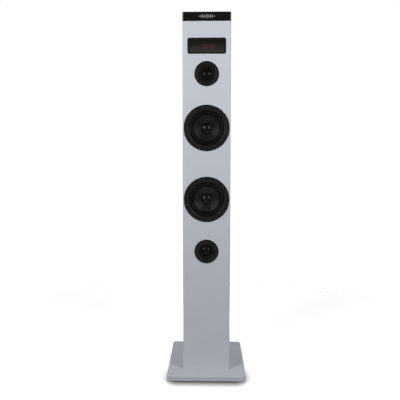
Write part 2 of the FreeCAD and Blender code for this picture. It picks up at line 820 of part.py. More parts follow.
def make_spider(z):
    """A thin corrugated disc between the voice coil and the basket's shelf."""
    t, collar = spider_sheet, 1.5
    inner, outer = former_outer + moving_gap, spider_shelf_inner + 0.5
    first = inner + collar
    step = (outer - first) / (2 * spider_waves)
    front_side, back_side = [(inner, spider_deep), (first, spider_deep)], []
    for i in range(2 * spider_waves):
        start = first + i * step
        crest = spider_deep + (spider_wave_height if i % 2 == 0 else -spider_wave_height) / 2
        front_side.append((start + step / 2, crest, start + step, spider_deep))
        back_side.insert(0, (start + step / 2, crest + t, start, spider_deep + t))
    rim = [(spider_outer, spider_deep), (spider_outer, spider_deep + t), (outer, spider_deep + t)]
    return lathe(front_side + rim + back_side + [(inner, spider_deep + t)], z)


def make_magnet(z):
    return disc(magnet_radius, winding_outer + magnetic_gap + 3.0, magnet_front, magnet_thickness, z)


def make_motor_steel(z):
    hole, pole = winding_outer + magnetic_gap, coil_radius - magnetic_gap
    top_plate = disc(plate_radius, hole, top_plate_front, plate_thickness, z)
    back_plate = disc(magnet_radius - 3.0, 0.0, magnet_rear, plate_thickness, z)
    pole_piece = disc(pole, 0.0, top_plate_front, magnet_rear - top_plate_front, z)
    return group([top_plate, fuse(back_plate, pole_piece)])


for name, z in woofers.items():
    parts[name + "_trim_ring"] = make_woofer_trim(z)
    parts[name + "_basket"] = make_woofer_basket(name, z)
    parts[name + "_surround"] = make_surround(z)
    parts[name + "_cone"] = make_cone(z)
    parts[name + "_dust_cap"] = make_dust_cap(z)
    parts[name + "_voice_coil"] = make_voice_coil(z)
    parts[name + "_spider"] = make_spider(z)
    parts[name + "_magnet"] = make_magnet(z)
    parts[name + "_motor_steel"] = make_motor_steel(z)

# ---- tweeters ------------------------------------------------------------------------------
tweeter_ring_inner = tweeter_trim_radius - tweeter_trim_width
tweeter_motor_radius = tweeter_barrel_radius - 3.0


def make_tweeter_faceplate(z):
    """A raised ring round a short horn, on a barrel that holds the motor and snaps into the baffle."""
    outer, inner, barrel = tweeter_trim_radius, tweeter_ring_inner, tweeter_barrel_radius
    crest = -tweeter_trim_height
    throat, bore = tweeter_throat_radius, tweeter_motor_radius + 0.4
    barrel_end = baffle_thickness + tweeter_clip
    body = lathe([
        (outer, 0.0),
        (outer, crest + 1.4),
        (outer - 0.5, crest + 0.5, outer - 2.0, crest + 0.15),
        (outer - 4.0, crest, inner + 2.0, crest + 0.3),
        (inner + 0.6, crest + 0.9, inner, crest + 1.8),
        (throat, tweeter_throat_deep),
        (throat, tweeter_rim_deep),
        (throat + 2.0, tweeter_rim_deep),
        (bore, tweeter_throat_deep - 1.0),
        (bore, barrel_end),
        (barrel, barrel_end),
        (barrel, 0.0),
    ], z)
    lug_proud, lug_half_width = 1.4, 3.5
    ring = disc(barrel + lug_proud, barrel - 0.5, baffle_thickness + joint_gap, tweeter_clip - joint_gap, z)
    lugs = []
    for turn in (90, 210, 330):
        sector = block(0, 2 * barrel, front, front + barrel_end, -lug_half_width, lug_half_width)
        sector.rotate(Vector(0, 0, 0), Vector(0, 1, 0), turn)
        sector.translate(Vector(0, 0, z))
        lugs.append(ring.common(sector))
    return fuse(body, *lugs)


dome_rim_deep = tweeter_rim_deep - dome_excursion - moving_gap


def make_dome(z):
    t, rim = dome_sheet, dome_rim_deep - dome_sheet
    apex = rim - dome_rise
    edge = tweeter_throat_radius - 0.4
    flat, roll_height = 0.4, 1.0
    roll = (dome_radius + edge - flat) / 2
    return lathe([
        (0.0, apex),
        bowl(dome_radius, dome_rise, apex),
        (roll, rim - roll_height, edge - flat, rim),
        (edge, rim),
        (edge, rim + t),
        (edge - flat, rim + t),
        (roll, rim - roll_height + t, dome_radius, rim + t),
        (*bowl(dome_radius, dome_rise, apex + t)[:2], 0.0, apex + t),
    ], z)


def make_tweeter_coil(z):
    winding_height = 2.6
    winding_front = tweeter_rim_deep + (tweeter_plate_thickness - winding_height) / 2
    former_length = winding_front + winding_height + 1.0 - dome_rim_deep
    former = disc(dome_radius, dome_radius - dome_former_wall, dome_rim_deep, former_length, z)
    winding = disc(dome_radius + dome_winding_thickness, dome_radius, winding_front, winding_height, z)
    return group([former, winding])


def make_tweeter_motor(name, z):
    hole = dome_radius + dome_winding_thickness + dome_coil_gap
    pole = dome_radius - dome_former_wall - dome_coil_gap
    plate_front = tweeter_rim_deep
    ferrite_front = plate_front + tweeter_plate_thickness
    yoke_front = ferrite_front + tweeter_magnet_thickness
    top_plate = disc(tweeter_motor_radius, hole, plate_front, tweeter_plate_thickness, z)
    ferrite = disc(tweeter_motor_radius, hole + 2.5, ferrite_front, tweeter_magnet_thickness, z)
    yoke = fuse(disc(tweeter_motor_radius - 2.0, 0.0, yoke_front, tweeter_plate_thickness, z),
                disc(pole, 0.0, plate_front, yoke_front - plate_front, z))
    tag = lead_tag(name, tweeter_motor_radius - 8.0, front + yoke_front + tweeter_plate_thickness, z)
    return group([top_plate, ferrite, yoke, tag])


for name, z in tweeters.items():
    parts[name + "_faceplate"] = make_tweeter_faceplate(z)
    parts[name + "_dome"] = make_dome(z)
    parts[name + "_voice_coil"] = make_tweeter_coil(z)
    parts[name + "_motor"] = make_tweeter_motor(name, z)

# ---- amplifier plate, sockets and switch ---------------------------------------------------
plate_inner, plate_outer = rear, rear + amp_plate_thickness
low_row_z = amp_plate_z - sockets_drop
rocker_cavity = rocker_radius + moving_gap
housing_half_x = rocker_width / 2 + moving_gap + housing_wall
housing_half_z = rocker_cavity + housing_wall
housing_rear_y = plate_outer - housing_depth
rocker_axis_y = plate_outer - rocker_axis_sunk
amp_board_z = amp_plate_z + amp_board_rise
amp_board_top = amp_board_z + board_thickness
board_width = amp_opening_width - 2.0
board_front = lead_y - terminal_half - 2.0


def make_amplifier_plate():
    plate = upright_plate(amp_plate_width, amp_plate_height, 4.0, 0.0, amp_plate_thickness, amp_plate_z)
    plate.translate(Vector(0, plate_inner - front, 0))
    through0, through1 = plate_inner - 1, plate_outer + 1
    cuts = [rod(pilot_radius, (x, through0, z), (x, through1, z)) for x, z in amp_screws]
    usb_z = amp_board_top + usb_height / 2
    aux_z = amp_board_top + aux_side / 2
    for x, z, width, height in (
        (inlet_x, low_row_z, inlet_width, inlet_height),
        (rocker_x, low_row_z, 2 * housing_half_x, 2 * housing_half_z),
        (usb_x, usb_z, usb_width, usb_height),
    ):
        cuts.append(centred(x, z, width + 2 * joint_gap, height + 2 * joint_gap, through0, through1))
    cuts.append(rod(aux_nose_radius + joint_gap, (aux_x, through0, aux_z), (aux_x, through1, aux_z)))
    lug_x, lug_width, lug_thickness, lug_reach = 30.0, 10.0, 1.5, 10.0
    lugs = [centred(x, amp_board_z - lug_thickness / 2, lug_width, lug_thickness, plate_inner - lug_reach,
                    plate_inner) for x in (-lug_x, lug_x)]
    return fuse(plate.cut(cuts), *lugs)


def make_mains_inlet():
    x, z = inlet_x, low_row_z
    body = centred(x, z, inlet_width, inlet_height, plate_outer - inlet_depth, plate_outer)
    flange = upright_plate(inlet_width + 2 * inlet_flange, inlet_height + 2 * inlet_flange, 2.5, 0.0,
                           inlet_flange_proud, z, x)
    flange.translate(Vector(0, plate_outer - front, 0))
    mouth = plate_outer + inlet_flange_proud
    slot = upright_plate(inlet_slot_width, inlet_slot_height, inlet_slot_height / 2 - 0.01, 0.0,
                         inlet_slot_depth + 1, z, x)
    slot.translate(Vector(0, mouth - inlet_slot_depth - front, 0))
    floor_y = mouth - inlet_slot_depth
    shell = fuse(body, flange).cut(slot)
    pin_places = [x - pin_half_pitch, x + pin_half_pitch]
    pins = [rod(pin_radius, (pin_x, floor_y, z), (pin_x, floor_y + pin_length, z)) for pin_x in pin_places]
    body_rear = plate_outer - inlet_depth
    blades = [centred(pin_x, z, blade_width, blade_thickness, body_rear - blade_length, body_rear)
              for pin_x in pin_places]
    return group([shell] + pins + blades)


def make_switch_housing():
    x, z = rocker_x, low_row_z
    body = centred(x, z, 2 * housing_half_x, 2 * housing_half_z, housing_rear_y, plate_outer)
    flange = upright_plate(2 * (housing_half_x + housing_lip), 2 * (housing_half_z + housing_lip), 1.5, 0.0,
                           housing_proud, z, x)
    flange.translate(Vector(0, plate_outer - front, 0))
    cavity_half_x = rocker_width / 2 + moving_gap
    cavity = centred(x, z, 2 * cavity_half_x, 2 * rocker_cavity, rocker_axis_y - rocker_below - 3.0,
                     plate_outer + housing_depth)
    socket = cavity_half_x + 0.9
    pivot_hole = rod(rocker_pin_radius + joint_gap, (x - socket, rocker_axis_y, z),
                     (x + socket, rocker_axis_y, z))
    shell = fuse(body, flange).cut([cavity, pivot_hole])
    blade_places = [z - 6.0, z + 6.0]
    blades = [centred(x, blade_z, blade_width, blade_thickness, housing_rear_y - blade_length, housing_rear_y)
              for blade_z in blade_places]
    return group([shell] + blades)


def make_power_rocker():
    """The rocker at rest with its upper half out, turned half its swing from level."""
    x, z = rocker_x, low_row_z
    side0, side1 = x - rocker_width / 2, x + rocker_width / 2
    drum = rod(rocker_radius, (side0, rocker_axis_y, z), (side1, rocker_axis_y, z))
    reach, ridge, hollow = rocker_radius + 1, 5.2, 2.6
    below = -rocker_below
    profile = [(-reach, below), (reach, below), (reach, ridge), (0.0, hollow), (-reach, ridge)]
    wire = outline(profile, lambda a, b: Vector(side0 - 1, rocker_axis_y + b, z + a))
    keep = Part.Face(wire).extrude(Vector(rocker_width + 2, 0, 0))
    rocker = drum.common(keep)
    pivot = rod(rocker_pin_radius, (side0 - 1.0, rocker_axis_y, z), (side1 + 1.0, rocker_axis_y, z))
    rocker = fuse(rocker, pivot)
    rocker.rotate(Vector(x, rocker_axis_y, z), Vector(1, 0, 0), -rocker_swing / 2)
    return rocker


def make_usb_port():
    mouth, wall, z = plate_outer + 0.6, usb_wall, amp_board_top + usb_height / 2
    floor_y = mouth - usb_length + 1.5
    shell = centred(usb_x, z, usb_width, usb_height, mouth - usb_length, mouth)
    shell = shell.cut(centred(usb_x, z, usb_width - 2 * wall, usb_height - 2 * wall, floor_y, mouth + 1.0))
    tongue_width, tongue_thickness, tongue_rise = 11.0, 1.8, 1.5
    tongue = centred(usb_x, z + tongue_rise, tongue_width, tongue_thickness, floor_y, mouth - 1.0)
    return group([shell, tongue])


def make_aux_jack():
    z = amp_board_top + aux_side / 2
    body_rear, nose_end = plate_inner - aux_length, plate_outer + 2.5
    body = centred(aux_x, z, aux_side, aux_side, body_rear, plate_inner - joint_gap)
    nose = rod(aux_nose_radius, (aux_x, plate_inner - 1.0, z), (aux_x, nose_end, z))
    bore = rod(aux_bore_radius, (aux_x, body_rear + 1.0, z), (aux_x, nose_end + 1.0, z))
    return fuse(body, nose).cut(bore)


def make_amplifier_board():
    """The board with its heat sink, two capacitors and two rows of terminals."""
    y0, y1 = board_front, rear - 1.0
    z0 = amp_board_top
    board = block(-board_width / 2, board_width / 2, y0, y1, amp_board_z, z0)
    sink_y0, sink_y1 = y1 - 46.0, y1 - 26.0
    fin_pitch, fin = 2 * sink_half_width / sink_fins, 1.4
    fin_z0, fin_z1 = z0 + sink_foot, z0 + sink_height
    sink = [block(-sink_half_width, sink_half_width, sink_y0, sink_y1, z0, fin_z0)]
    for i in range(sink_fins):
        fin_x = -sink_half_width + (i + 0.5) * fin_pitch
        sink.append(block(fin_x - fin / 2, fin_x + fin / 2, sink_y0, sink_y1, fin_z0, fin_z1))
    sink_y, capacitor_x = (sink_y0 + sink_y1) / 2, sink_half_width + 2 * capacitor_radius
    capacitors = [rod(capacitor_radius, (x, sink_y, z0), (x, sink_y, z0 + capacitor_height))
                  for x in (-capacitor_x, capacitor_x)]
    inner_end = lead_x["lower_tweeter"] - 3.0
    row0, row1 = lead_y - terminal_half, lead_y + terminal_half
    terminals = [block(x0, x1, row0, row1, z0, z0 + terminal_height)
                 for x0, x1 in ((-board_width / 2, -inner_end), (inner_end, board_width / 2))]
    return group([board, fuse(*sink)] + capacitors + terminals)


def make_power_transformer():
    z0, y_mid = column_foot + floor_thickness, (inner_front + inner_rear) / 2 + 6.5
    core_mid = z0 + core_height / 2
    core = centred(0, core_mid, 2 * core_half_width, core_height, y_mid - core_half_depth,
                   y_mid + core_half_depth)
    bobbin = centred(0, core_mid, 2 * bobbin_half_width, bobbin_height, y_mid - bobbin_half_depth,
                     y_mid + bobbin_half_depth)
    return group([core.cut(bobbin), bobbin])


def make_reflex_port():
    tube_radius = port_radius + port_wall
    flange_radius = tube_radius + port_flange_width
    rim = column_depth + port_flange_proud
    flare = port_flare
    bow = 1 - math.sqrt(0.5)     # how far a quarter arc's middle stands in from its corner, by radius
    return lathe([
        (port_radius, column_depth - port_length),
        (port_radius, rim - flare),
        (port_radius + flare * bow, rim - flare * bow, port_radius + flare, rim),
        (flange_radius - 1.0, rim),
        (flange_radius - bow, rim - bow, flange_radius, rim - 1.0),
        (flange_radius, column_depth),
        (tube_radius, column_depth),
        (tube_radius, column_depth - port_length),
    ], port_z)


parts["amplifier_plate"] = make_amplifier_plate()
parts["mains_inlet"] = make_mains_inlet()
parts["switch_housing"] = make_switch_housing()
parts["power_rocker"] = make_power_rocker()
parts["usb_port"] = make_usb_port()
parts["aux_jack"] = make_aux_jack()
parts["amplifier_board"] = make_amplifier_board()
parts["power_transformer"] = make_power_transformer()
parts["reflex_port"] = make_reflex_port()


# ---- screws and wiring ---------------------------------------------------------------------
def make_driver_screws():
    return group([screw(x, front + flange_front, screw_z, (0, 1, 0))
                  for z in woofers.values() for x, screw_z in around(4, woofer_screw_circle, 45, z)])


def make_panel_screws():
    solids = [screw(x, plate_outer, z, (0, -1, 0)) for x, z in amp_screws]
    seat = cabinet_top - wall_thickness + top_board_counterbore
    solids += [screw(x, y, seat, (0, 0, 1)) for x, y in cap_posts]
    return group(solids)


def make_internal_wiring():
    """A lead from the amplifier's terminals to each driver's tag, and leads that join the boards."""
    start_z = amp_board_top + terminal_height
    tweeter_motor_rear = tweeter_rim_deep + 2 * tweeter_plate_thickness + tweeter_magnet_thickness
    tag_rear = {
        "woofer": front + shelf_rear + tag_thickness,
        "tweeter": front + tweeter_motor_rear + tag_thickness,
    }
    leads = []
    for name, z in list(woofers.items()) + list(tweeters.items()):
        x, tag_y = lead_x[name], tag_rear[name.split("_")[1]]
        leads.append(tube([(x, lead_y, start_z), (x, lead_y, z), (x, tag_y, z)], wire_radius))
    board_rear = front + display_board_deep + board_thickness
    leads.append(tube([(signal_lead_x, lead_y, start_z), (signal_lead_x, lead_y, window_z),
                       (signal_lead_x, board_rear, window_z)], wire_radius))
    control_z = control_board_top - board_thickness
    low_z = window_z + window_height / 4
    leads.append(tube([(0, control_lead_y, control_z), (0, control_lead_y, low_z), (0, board_rear, low_z)],
                      wire_radius))
    return group(leads)


parts["driver_screws"] = make_driver_screws()
parts["panel_screws"] = make_panel_screws()
parts["internal_wiring"] = make_internal_wiring()

os.makedirs("parts", exist_ok=True)
for name, shape in parts.items():
    bad = [s for s in shape.Solids if not s.isValid() or s.Volume <= 0]
    note = "  INVALID" if bad else ""
    print("%-30s %3d solids %10.1f mm3%s" % (name, len(shape.Solids), shape.Volume, note))
    shape.exportStep("parts/%s.step" % name)
print(len(parts), "nodes")
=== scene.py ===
import math

import bmesh
import bpy
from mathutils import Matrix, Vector


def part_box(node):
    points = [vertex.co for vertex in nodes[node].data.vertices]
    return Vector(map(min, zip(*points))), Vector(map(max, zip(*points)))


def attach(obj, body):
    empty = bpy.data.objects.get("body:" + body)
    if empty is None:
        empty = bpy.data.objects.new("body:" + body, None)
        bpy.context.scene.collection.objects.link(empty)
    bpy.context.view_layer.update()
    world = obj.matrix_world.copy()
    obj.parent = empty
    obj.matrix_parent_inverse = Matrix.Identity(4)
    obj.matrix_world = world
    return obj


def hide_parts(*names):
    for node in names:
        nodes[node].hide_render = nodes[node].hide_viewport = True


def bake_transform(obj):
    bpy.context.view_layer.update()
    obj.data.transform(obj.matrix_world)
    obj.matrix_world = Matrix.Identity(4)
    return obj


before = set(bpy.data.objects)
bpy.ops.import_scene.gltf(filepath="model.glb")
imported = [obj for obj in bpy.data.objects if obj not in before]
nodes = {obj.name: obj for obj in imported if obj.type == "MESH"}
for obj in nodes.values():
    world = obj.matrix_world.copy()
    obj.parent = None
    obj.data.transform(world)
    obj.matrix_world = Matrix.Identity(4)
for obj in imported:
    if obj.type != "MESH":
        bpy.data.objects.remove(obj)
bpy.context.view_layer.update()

# The looks of a floor-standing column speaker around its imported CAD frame.
# Metres, +Z up, front towards -Y. Names that end in _mm hold millimetres.

MM = 0.001
scene = bpy.context.scene


def middle(node):
    low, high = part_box(node)
    return (low + high) / 2


def link(name, data):
    made = bpy.data.objects.new(name, data)
    scene.collection.objects.link(made)
    return made


# ---- camera --------------------------------------------------------------------------------
camera = link("camera", bpy.data.cameras.new("camera"))
camera.data.lens = 39.4
camera.data.clip_start = 0.02
camera.location = (0.0048, -1.2770, 0.5923)
camera.rotation_euler = (math.radians(90 - 4.476), 0, math.radians(1.09))
scene.camera = camera
scene.view_settings.view_transform = "Standard"

# ---- light ---------------------------------------------------------------------------------
LAMPS = [
    # name, watts, colour, place, aimed at, width, height, shines in reflections
    ("key_left", 19.3, (1.0, 0.99, 0.97), (-1.15, -1.25, 1.22), (0, 0, 1.14), 0.55, 0.75, True),
    ("key_right", 17.6, (0.97, 0.985, 1.0), (1.15, -1.25, 1.22), (0, 0, 1.14), 0.55, 0.75, True),
    ("overhead", 0.8, (1.0, 1.0, 1.0), (0, 0.1, 2.3), (0, 0.1, 0), 1.6, 1.6, False),
]


def add_lamp(name, watts, colour, place, target, width, height, glossy):
    lamp = bpy.data.lights.new(name, "AREA")
    lamp.shape = "RECTANGLE"
    lamp.size, lamp.size_y = width, height
    lamp.energy, lamp.color = watts, colour
    made = link(name, lamp)
    made.location = place
    aim = Vector(target) - Vector(place)
    made.rotation_euler = aim.to_track_quat("-Z", "Y").to_euler()
    made.visible_camera = False
    made.visible_glossy = glossy


for lamp_facts in LAMPS:
    add_lamp(*lamp_facts)


def make_world():
    """White to the camera. As a light, a bright backdrop behind the object and a dim room in front of it.

    Reflections see a dim room all round.
    """
    world = bpy.data.worlds.new("studio")
    scene.world = world
    world.use_nodes = True
    tree = world.node_tree
    room, out = tree.nodes["Background"], tree.nodes["World Output"]
    room.inputs["Color"].default_value = (0.97, 0.985, 1.0, 1)
    way = tree.nodes.new("ShaderNodeTexCoord").outputs["Generated"]
    split = tree.nodes.new("ShaderNodeSeparateXYZ")
    tree.links.new(way, split.inputs[0])
    behind = tree.nodes.new("ShaderNodeMapRange")
    behind.interpolation_type = "SMOOTHSTEP"
    front_strength, back_strength, mirrored_strength = 0.06, 0.72, 0.08
    ramp = {"From Min": -0.1, "From Max": 0.6, "To Min": front_strength, "To Max": back_strength}
    for socket, value in ramp.items():
        behind.inputs[socket].default_value = value
    tree.links.new(split.outputs["Y"], behind.inputs["Value"])
    path = tree.nodes.new("ShaderNodeLightPath")
    soft = tree.nodes.new("ShaderNodeMix")
    soft.inputs["B"].default_value = mirrored_strength
    tree.links.new(path.outputs["Is Glossy Ray"], soft.inputs["Factor"])
    tree.links.new(behind.outputs[0], soft.inputs["A"])
    tree.links.new(soft.outputs["Result"], room.inputs["Strength"])
    white = tree.nodes.new("ShaderNodeBackground")
    white.inputs["Color"].default_value = (1, 1, 1, 1)
    mix = tree.nodes.new("ShaderNodeMixShader")
    tree.links.new(path.outputs["Is Camera Ray"], mix.inputs["Fac"])
    tree.links.new(room.outputs[0], mix.inputs[1])
    tree.links.new(white.outputs[0], mix.inputs[2])
    tree.links.new(mix.outputs[0], out.inputs["Surface"])


make_world()


# ---- materials -----------------------------------------------------------------------------
class Finish:
    """A procedural material. Its methods add nodes and return a socket to use further on."""

    def __init__(self, name, colour, roughness, metallic=0.0, shine=0.5):
        self.material = bpy.data.materials.new(name)
        self.material.use_nodes = True
        tree = self.material.node_tree
        self.nodes, self.links = tree.nodes, tree.links
        self.shader = self.nodes["Principled BSDF"]
        self.set("Base Color", (*colour, 1))
        self.set("Roughness", roughness)
        self.set("Metallic", metallic)
        self.set("Specular IOR Level", shine)
        self.place = self.nodes.new("ShaderNodeTexCoord").outputs["Object"]
        self.base = colour

    def set(self, socket, value):
        if isinstance(value, bpy.types.NodeSocket):
            self.links.new(value, self.shader.inputs[socket])
        else:
            self.shader.inputs[socket].default_value = value

    def linked(self, socket):
        return self.shader.inputs[socket].links[0].from_socket

    def node(self, kind, inputs, **settings):
        made = self.nodes.new("ShaderNode" + kind)
        for key, value in settings.items():
            setattr(made, key, value)
        for key, value in inputs.items():
            if isinstance(value, bpy.types.NodeSocket):
                self.links.new(value, made.inputs[key])
            else:
                made.inputs[key].default_value = value
        return made

    def sum(self, operation, a, b=0.0):
        return self.node("Math", {0: a, 1: b}, operation=operation).outputs[0]

    def noise(self, scale, detail=3.0, rough=0.55, vector=None):
        inputs = {"Vector": vector or self.place, "Scale": scale, "Detail": detail, "Roughness": rough}
        return self.node("TexNoise", inputs).outputs[0]

    def cells(self, scale, feature="F1", vector=None):
        inputs = {"Vector": vector or self.place, "Scale": scale}
        return self.node("TexVoronoi", inputs, feature=feature).outputs[0]

    def band(self, value, start, end, low=0.0, high=1.0):
        """low below start, high above end, and smooth between them."""
        inputs = {"Value": value, "From Min": start, "From Max": end, "To Min": low, "To Max": high}
        return self.node("MapRange", inputs, interpolation_type="SMOOTHSTEP").outputs[0]

    def mix(self, factor, a, b):
        """From colour a to colour b."""
        inputs = {0: factor, 6: a if not isinstance(a, tuple) else (*a, 1),
                  7: b if not isinstance(b, tuple) else (*b, 1)}
        return self.node("Mix", inputs, data_type="RGBA").outputs[2]

    def axes(self, centre=(0, 0, 0)):
        """X, Y and Z from centre."""
        moved = self.node("VectorMath", {0: self.place, 1: centre}, operation="SUBTRACT").outputs[0]
        return self.node("SeparateXYZ", {0: moved}).outputs

    def vector(self, x, y, z):
        return self.node("CombineXYZ", {0: x, 1: y, 2: z}).outputs[0]

    def stretched(self, x, y, z):
        return self.node("VectorMath", {0: self.place, 1: (x, y, z)}, operation="MULTIPLY").outputs[0]

    def polar(self, centre):
        """Radius in metres, and angle in radians, about the front-to-back axis through centre."""
        x, _, z = self.axes(centre)
        radius = self.sum("SQRT", self.sum("ADD", self.sum("MULTIPLY", x, x), self.sum("MULTIPLY", z, z)))
        return radius, self.sum("ARCTAN2", z, x)

    def waves(self, value, pitch):
        """0 to 1 and back for each pitch of value."""
        turn = self.sum("MULTIPLY", value, 2 * math.pi / pitch)
        return self.sum("ADD", self.sum("MULTIPLY", self.sum("SINE", turn), 0.5), 0.5)

    def tones(self, factor, spread, tint=(1.0, 1.0, 1.0)):
        """The base colour, darker and lighter by spread as factor goes from 0 to 1."""
        dark = tuple(c * (1 - spread) for c in self.base)
        light = tuple(c * (1 + spread) * t for c, t in zip(self.base, tint))
        colour = self.mix(factor, dark, light)
        self.set("Base Color", colour)
        return colour

    def bump(self, layers):
        """layers are (height from 0 to 1, depth in metres), each laid over the one before."""
        normal = None
        for height, depth in layers:
            inputs = {"Height": height, "Distance": depth, "Strength": 1.0}
            if normal:
                inputs["Normal"] = normal
            normal = self.node("Bump", inputs).outputs[0]
        self.set("Normal", normal)


def painted_board():
    """Satin spray paint on fibreboard: a fine orange peel, and a faint cloud in its colour."""
    f = Finish("silver_paint", (0.60, 0.625, 0.675), 0.42)
    cloud = f.noise(9.0, 5.0, 0.6)
    speck = f.noise(900.0, 2.0)
    mottle = f.sum("ADD", f.sum("MULTIPLY", cloud, 0.7), f.sum("MULTIPLY", speck, 0.3))
    f.tones(mottle, 0.045, (0.985, 0.995, 1.02))
    f.set("Roughness", f.band(f.noise(60.0, 4.0), 0.3, 0.7, 0.38, 0.5))
    f.bump([(f.noise(420.0, 2.0, 0.4), 0.00010), (f.noise(2600.0, 2.0), 0.00002)])
    return f


def gloss_plastic():
    """Polished mouldings: faint flow waves, fine hairlines and a few smudges."""
    f = Finish("gloss_black", (0.007, 0.007, 0.008), 0.1, shine=0.22)
    f.tones(f.noise(30.0, 3.0), 0.12)
    hairs = f.noise(1.0, 2.0, 0.5, f.stretched(60.0, 900.0, 900.0))
    smudge = f.band(f.noise(45.0, 4.0), 0.35, 0.75, 0.07, 0.2)
    f.set("Roughness", f.sum("ADD", smudge, f.sum("MULTIPLY", hairs, 0.05)))
    f.bump([(f.noise(28.0, 1.0), 0.00012), (hairs, 0.000004)])
    return f


def satin_plastic(name="satin_black", colour=(0.007, 0.007, 0.0075), rough=0.48, depth=0.00003):
    """Spark-eroded mould texture."""
    f = Finish(name, colour, rough, shine=0.18)
    f.tones(f.noise(180.0, 4.0), 0.14)
    f.set("Roughness", f.band(f.noise(90.0, 3.0), 0.3, 0.7, rough - 0.06, rough + 0.08))
    f.bump([(f.cells(1500.0, "SMOOTH_F1"), depth), (f.noise(3800.0, 2.0), depth * 0.4)])
    return f


def tweeter_face(name, centre):
    """The same moulding, with a duller horn inside its raised ring, whose darker colour is painted shade in
    the recess.
    """
    f = satin_plastic(name)
    radius, _ = f.polar(centre)
    horn_radius, ring_radius, horn_painted_shade, horn_rough = 0.021, 0.026, (0.0015, 0.0015, 0.0018), 0.8
    outside = f.band(radius, horn_radius, ring_radius)
    # Painted shade: the recessed horn is coloured darker than its ring.
    f.set("Base Color", f.mix(outside, horn_painted_shade, f.linked("Base Color")))
    f.set("Roughness", f.node("Mix", {0: outside, 2: horn_rough, 3: f.linked("Roughness")}).outputs[0])
    return f


def powder_coat():
    f = Finish("black_plate", (0.018, 0.018, 0.019), 0.55)
    f.tones(f.noise(500.0, 3.0), 0.2)
    f.set("Roughness", f.band(f.noise(400.0, 3.0), 0.3, 0.7, 0.45, 0.65))
    f.bump([(f.noise(1100.0, 3.0, 0.6), 0.00012), (f.noise(3600.0, 2.0), 0.00003)])
    return f


def moulded_rubber():
    f = Finish("foot_rubber", (0.028, 0.028, 0.028), 0.8)
    f.tones(f.noise(300.0, 4.0), 0.25)
    f.set("Roughness", f.band(f.noise(150.0, 3.0), 0.3, 0.7, 0.7, 0.9))
    f.bump([(f.noise(1600.0, 3.0), 0.00006)])
    return f


def metal(name, colour, rough, grain=(200.0, 200.0, 200.0), depth=0.00001):
    """Plated or ground metal; grain stretches its scratches."""
    f = Finish(name, colour, rough, metallic=1.0)
    lines = f.noise(1.0, 3.0, 0.6, f.stretched(*grain))
    f.tones(f.noise(120.0, 3.0), 0.08)
    f.set("Roughness", f.band(lines, 0.3, 0.7, rough - 0.07, rough + 0.1))
    f.bump([(lines, depth), (f.noise(2200.0, 2.0), depth * 0.5)])
    return f


def fibreboard():
    f = Finish("raw_board", (0.45, 0.33, 0.22), 0.85)
    fibres = f.noise(1.0, 4.0, 0.6, f.stretched(900.0, 900.0, 200.0))
    f.tones(fibres, 0.2)
    f.set("Roughness", f.band(fibres, 0.3, 0.7, 0.75, 0.92))
    f.bump([(fibres, 0.0001)])
    return f


def circuit_board():
    """Green solder mask over copper tracks, with tinned pads."""
    f = Finish("circuit_board", (0.02, 0.12, 0.06), 0.35)
    x, y, z = f.axes()
    tracks = f.band(f.waves(f.sum("ADD", x, f.sum("MULTIPLY", f.noise(60.0, 0.0), 0.01)), 0.0022), 0.55, 0.7)
    pads = f.band(f.cells(420.0), 0.16, 0.2, 1.0, 0.0)
    masked = f.mix(tracks, (0.012, 0.085, 0.042), (0.025, 0.16, 0.075))
    f.set("Base Color", f.mix(pads, masked, (0.62, 0.62, 0.58)))
    f.set("Metallic", pads)
    f.set("Roughness", f.band(f.noise(500.0), 0.3, 0.7, 0.28, 0.42))
    f.bump([(f.sum("MAXIMUM", tracks, pads), 0.00004)])
    return f


def emblem_print():
    """Satin silver bars, drawn upright."""
    f = Finish("emblem_print", (0.42, 0.43, 0.44), 0.38, metallic=0.4)
    lines = f.noise(1.0, 3.0, 0.6, f.stretched(4000.0, 4000.0, 260.0))
    f.tones(lines, 0.12)
    f.set("Roughness", f.band(lines, 0.3, 0.7, 0.28, 0.42))
    f.bump([(lines, 0.00001)])
    return f


def smoked_pane():
    """Dark acrylic that lets a little of the digits through, with a painted reflection: lighter towards the
    bottom and darker towards the top.
    """
    f = Finish("smoked_pane", (0.022, 0.022, 0.019), 0.12)
    _, _, z = f.axes(middle("display_window"))
    half_height, lower_painted_reflection, upper_painted_reflection = 0.02, (0.040, 0.040, 0.035), (0.006, 0.006, 0.0045)
    # Painted reflection: a colour gradient, lighter low on the pane, stands in for the room reflected in it.
    f.set("Base Color", f.mix(f.band(z, -half_height, half_height), lower_painted_reflection, upper_painted_reflection))
    f.set("Roughness", f.band(f.noise(70.0, 4.0), 0.35, 0.75, 0.1, 0.2))
    f.bump([(f.noise(35.0, 1.0), 0.00005)])
    f.set("Alpha", 0.8)
    return f


def red_light():
    f = Finish("red_light", (0.30, 0.03, 0.025), 0.5)
    glow = f.mix(f.noise(1500.0, 2.0), (0.62, 0.05, 0.04), (0.95, 0.10, 0.08))
    f.set("Emission Color", glow)
    f.set("Emission Strength", 4.0)
    f.set("Roughness", f.band(f.noise(900.0), 0.3, 0.7, 0.4, 0.6))
    f.bump([(f.noise(2500.0), 0.00002)])
    return f


def transformer_steel():
    """Varnished laminations round a taped winding."""
    centre = middle("power_transformer")
    f = Finish("transformer_steel", (0.15, 0.15, 0.16), 0.45, metallic=0.6)
    _, y, _ = f.axes(centre)
    sheets = f.waves(y, 0.0008)
    winding = f.band(f.sum("ABSOLUTE", y), 0.0101, 0.0104)
    steel, tape = f.mix(sheets, (0.09, 0.09, 0.1), (0.19, 0.19, 0.2)), (0.5, 0.36, 0.06)
    f.set("Base Color", f.mix(winding, steel, tape))
    f.set("Metallic", f.band(winding, 0.0, 1.0, 0.6, 0.0))
    f.set("Roughness", f.band(f.noise(200.0), 0.3, 0.7, 0.38, 0.55))
    f.bump([(sheets, 0.0001)])
    return f


